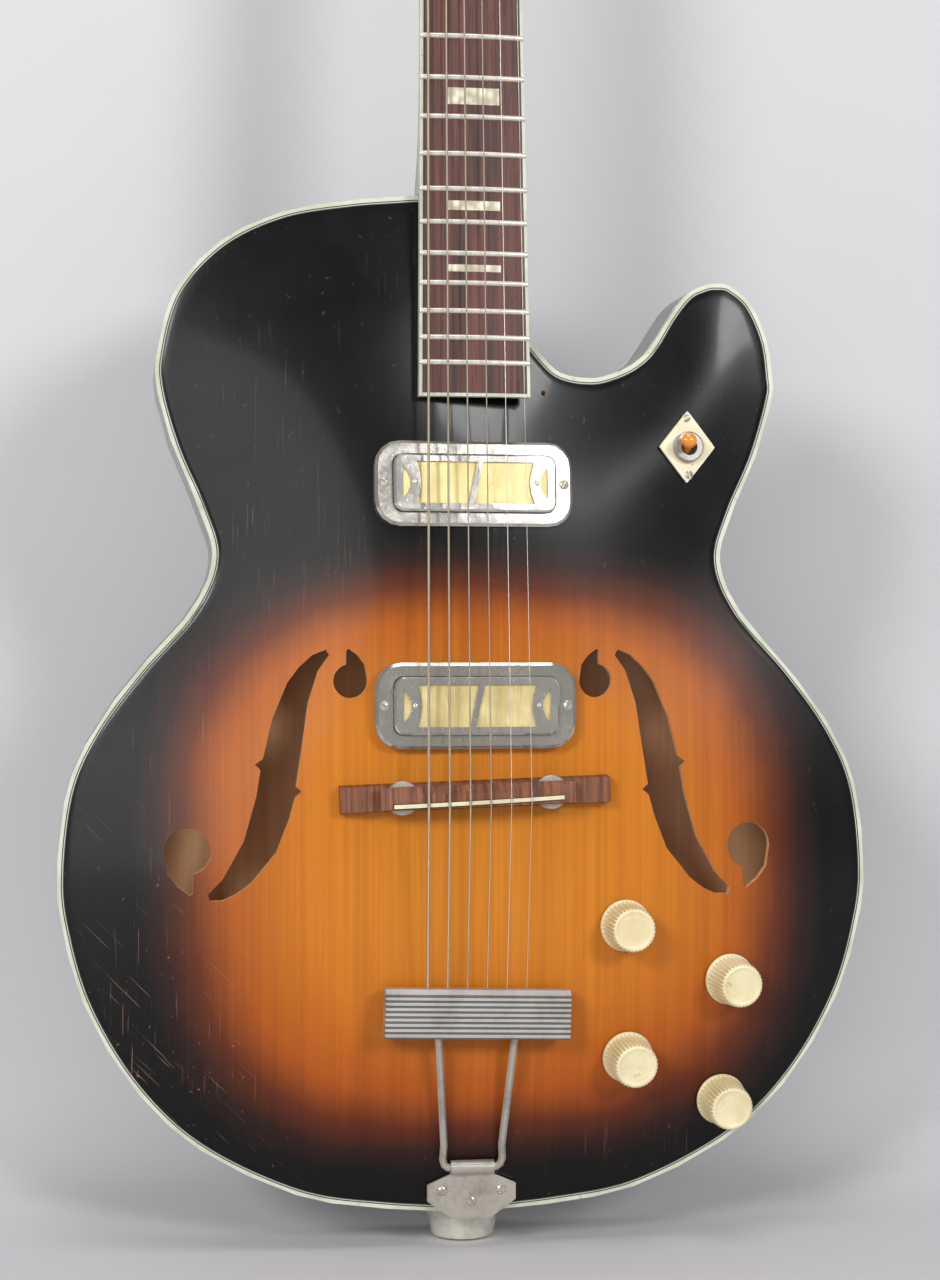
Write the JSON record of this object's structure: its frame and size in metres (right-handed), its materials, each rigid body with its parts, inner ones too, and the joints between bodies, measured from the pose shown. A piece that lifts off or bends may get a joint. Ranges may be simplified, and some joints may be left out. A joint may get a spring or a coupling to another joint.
{
  "type": "hollow-body electric guitar",
  "caption": "Hollow-body electric guitar with an arched top, a rounded cutaway, foil pickups, a movable bridge, a trapeze tailpiece, turning knobs, a selector switch and tuners.",
  "frame": {"origin": "centre of the flat lower end of the end button", "axes": "+X to the treble side, -Y out of the arched top towards the player's view, +Z from the end button along the neck to the head"},
  "size_m": [0.4017, 0.1153, 1.051],
  "materials": {
    "sunburst top": "aged gloss lacquer, dark to amber sunburst",
    "dark lacquer": "near-black lacquer",
    "bare wood": "unfinished inside wood",
    "cream binding": "aged cream celluloid",
    "rosewood": "oiled dark wood",
    "bone": "polished bone",
    "ivory plastic": "aged ivory plastic",
    "amber plastic": "clear amber plastic",
    "worn chrome": "worn chrome plate",
    "dull nickel": "dull nickel plate",
    "pewter": "dark tarnished plate",
    "string steel": "bare and wound steel",
    "gold foil": "brushed gold foil"
  },
  "bodies": {
    "guitar": {"back_binding": "cream binding", "back_plate": "dark lacquer", "bass_tone_bar": "bare wood", "bridge_base": "rosewood", "bridge_pickup_coil": "gold foil", "bridge_pickup_cover": "worn chrome", "bridge_pickup_ring": "worn chrome", "end_block": "bare wood", "end_button": "pewter", "fretboard": "rosewood", "head_veneer": "dark lacquer", "neck": "dark lacquer", "neck_block": "bare wood", "neck_pickup_coil": "gold foil", "neck_pickup_cover": "worn chrome", "neck_pickup_ring": "worn chrome", "nut": "bone", "output_jack": "dull nickel", "pot_1": "dull nickel", "pot_2": "dull nickel", "pot_3": "dull nickel", "pot_4": "dull nickel", "rim": "dark lacquer", "string_1": "string steel", "string_2": "string steel", "string_3": "string steel", "string_4": "string steel", "string_5": "string steel", "string_6": "string steel", "switch_body": "dull nickel", "switch_plate": "ivory plastic", "tailpiece_bracket": "dull nickel", "top_binding": "cream binding", "top_plate": "sunburst top", "treble_tone_bar": "bare wood", "tuner_plate_bass": "dull nickel", "tuner_plate_treble": "dull nickel"},
    "knob_1_dial": {"knob_1": "ivory plastic"},
    "knob_2_dial": {"knob_2": "ivory plastic"},
    "knob_3_dial": {"knob_3": "ivory plastic"},
    "knob_4_dial": {"knob_4": "ivory plastic"},
    "switch_arm": {"switch_lever": "amber plastic"},
    "tuner_1_key": {"tuner_button_1": "ivory plastic"},
    "tuner_1_barrel": {"tuner_post_1": "dull nickel"},
    "tuner_2_key": {"tuner_button_2": "ivory plastic"},
    "tuner_2_barrel": {"tuner_post_2": "dull nickel"},
    "tuner_3_key": {"tuner_button_3": "ivory plastic"},
    "tuner_3_barrel": {"tuner_post_3": "dull nickel"},
    "tuner_4_key": {"tuner_button_4": "ivory plastic"},
    "tuner_4_barrel": {"tuner_post_4": "dull nickel"},
    "tuner_5_key": {"tuner_button_5": "ivory plastic"},
    "tuner_5_barrel": {"tuner_post_5": "dull nickel"},
    "tuner_6_key": {"tuner_button_6": "ivory plastic"},
    "tuner_6_barrel": {"tuner_post_6": "dull nickel"},
    "bridge_saddle": {"bridge_top": "rosewood", "saddle": "bone"},
    "bass_wheel": {"bass_thumbwheel": "dull nickel"},
    "treble_wheel": {"treble_thumbwheel": "dull nickel"},
    "tailpiece": {"tailpiece_bar": "dull nickel", "tailpiece_wire": "dull nickel"}
  },
  "joints": [
    {"name": "knob_1_turn", "type": "hinge", "parent": "guitar", "child": "knob_1_dial", "pos_m": [0.07435, -0.04207, 0.15697], "axis": [0.0437, -0.9987, -0.0269], "range_deg": [0, 300]},
    {"name": "knob_2_turn", "type": "hinge", "parent": "guitar", "child": "knob_2_dial", "pos_m": [0.12785, -0.03608, 0.12901], "axis": [0.1228, -0.9899, -0.0713], "range_deg": [0, 300]},
    {"name": "knob_3_turn", "type": "hinge", "parent": "guitar", "child": "knob_3_dial", "pos_m": [0.07636, -0.03717, 0.09215], "axis": [0.0588, -0.9906, -0.1233], "range_deg": [0, 300]},
    {"name": "knob_4_turn", "type": "hinge", "parent": "guitar", "child": "knob_4_dial", "pos_m": [0.1249, -0.03049, 0.06907], "axis": [0.0838, -0.9904, -0.1099], "range_deg": [0, 300]},
    {"name": "switch_throw", "type": "hinge", "parent": "guitar", "child": "switch_arm", "pos_m": [0.10706, -0.03108, 0.39111], "axis": [-0.6411, -0.0484, -0.7659], "range_deg": [-32, 0]},
    {"name": "tuner_1_turn", "type": "hinge", "parent": "guitar", "child": "tuner_1_key", "pos_m": [-0.022, 0.01427, 0.90517], "axis": [-1, 0, 0], "continuous": true},
    {"name": "tuner_1_wind", "type": "hinge", "parent": "guitar", "child": "tuner_1_barrel", "pos_m": [-0.022, -0.00294, 0.91892], "axis": [0, -0.9588, 0.284], "continuous": true},
    {"name": "tuner_2_turn", "type": "hinge", "parent": "guitar", "child": "tuner_2_key", "pos_m": [-0.022, 0.02619, 0.94544], "axis": [-1, 0, 0], "continuous": true},
    {"name": "tuner_2_wind", "type": "hinge", "parent": "guitar", "child": "tuner_2_barrel", "pos_m": [-0.022, 0.00899, 0.95919], "axis": [0, -0.9588, 0.284], "continuous": true},
    {"name": "tuner_3_turn", "type": "hinge", "parent": "guitar", "child": "tuner_3_key", "pos_m": [-0.022, 0.03812, 0.98571], "axis": [-1, 0, 0], "continuous": true},
    {"name": "tuner_3_wind", "type": "hinge", "parent": "guitar", "child": "tuner_3_barrel", "pos_m": [-0.022, 0.02092, 0.99946], "axis": [0, -0.9588, 0.284], "continuous": true},
    {"name": "tuner_4_turn", "type": "hinge", "parent": "guitar", "child": "tuner_4_key", "pos_m": [0.022, 0.03812, 0.98571], "axis": [1, 0, 0], "continuous": true},
    {"name": "tuner_4_wind", "type": "hinge", "parent": "guitar", "child": "tuner_4_barrel", "pos_m": [0.022, 0.02092, 0.99946], "axis": [0, -0.9588, 0.284], "continuous": true},
    {"name": "tuner_5_turn", "type": "hinge", "parent": "guitar", "child": "tuner_5_key", "pos_m": [0.022, 0.02619, 0.94544], "axis": [1, 0, 0], "continuous": true},
    {"name": "tuner_5_wind", "type": "hinge", "parent": "guitar", "child": "tuner_5_barrel", "pos_m": [0.022, 0.00899, 0.95919], "axis": [0, -0.9588, 0.284], "continuous": true},
    {"name": "tuner_6_turn", "type": "hinge", "parent": "guitar", "child": "tuner_6_key", "pos_m": [0.022, 0.01427, 0.90517], "axis": [1, 0, 0], "continuous": true},
    {"name": "tuner_6_wind", "type": "hinge", "parent": "guitar", "child": "tuner_6_barrel", "pos_m": [0.022, -0.00294, 0.91892], "axis": [0, -0.9588, 0.284], "continuous": true},
    {"name": "bridge_lift", "type": "slide", "parent": "guitar", "child": "bridge_saddle", "axis": [0, -1, 0], "range_m": [-0.001, 0.0015], "deforming": ["string_1", "string_2", "string_3", "string_4", "string_5", "string_6"]},
    {"name": "bass_wheel_turn", "type": "hinge", "parent": "bridge_saddle", "child": "bass_wheel", "pos_m": [-0.03598, -0.0501, 0.22046], "axis": [0, -1, 0], "range_deg": [-515, 772]},
    {"name": "treble_wheel_turn", "type": "hinge", "parent": "bridge_saddle", "child": "treble_wheel", "pos_m": [0.03598, -0.0501, 0.22284], "axis": [0, -1, 0], "range_deg": [-515, 772]},
    {"name": "tailpiece_swing", "type": "hinge", "parent": "guitar", "child": "tailpiece", "pos_m": [0, -0.0342, 0.04], "axis": [1, 0, 0], "range_deg": [-3, 3]}
  ],
  "couplings": [
    {"joint": "tuner_1_wind", "follows": "tuner_1_turn", "ratio": -0.071429},
    {"joint": "tuner_2_wind", "follows": "tuner_2_turn", "ratio": -0.071429},
    {"joint": "tuner_3_wind", "follows": "tuner_3_turn", "ratio": -0.071429},
    {"joint": "tuner_4_wind", "follows": "tuner_4_turn", "ratio": 0.071429},
    {"joint": "tuner_5_wind", "follows": "tuner_5_turn", "ratio": 0.071429},
    {"joint": "tuner_6_wind", "follows": "tuner_6_turn", "ratio": 0.071429},
    {"joint": "bass_wheel_turn", "follows": "bridge_lift", "rad_per_m": 8976},
    {"joint": "treble_wheel_turn", "follows": "bridge_lift", "rad_per_m": 8976}
  ]
}
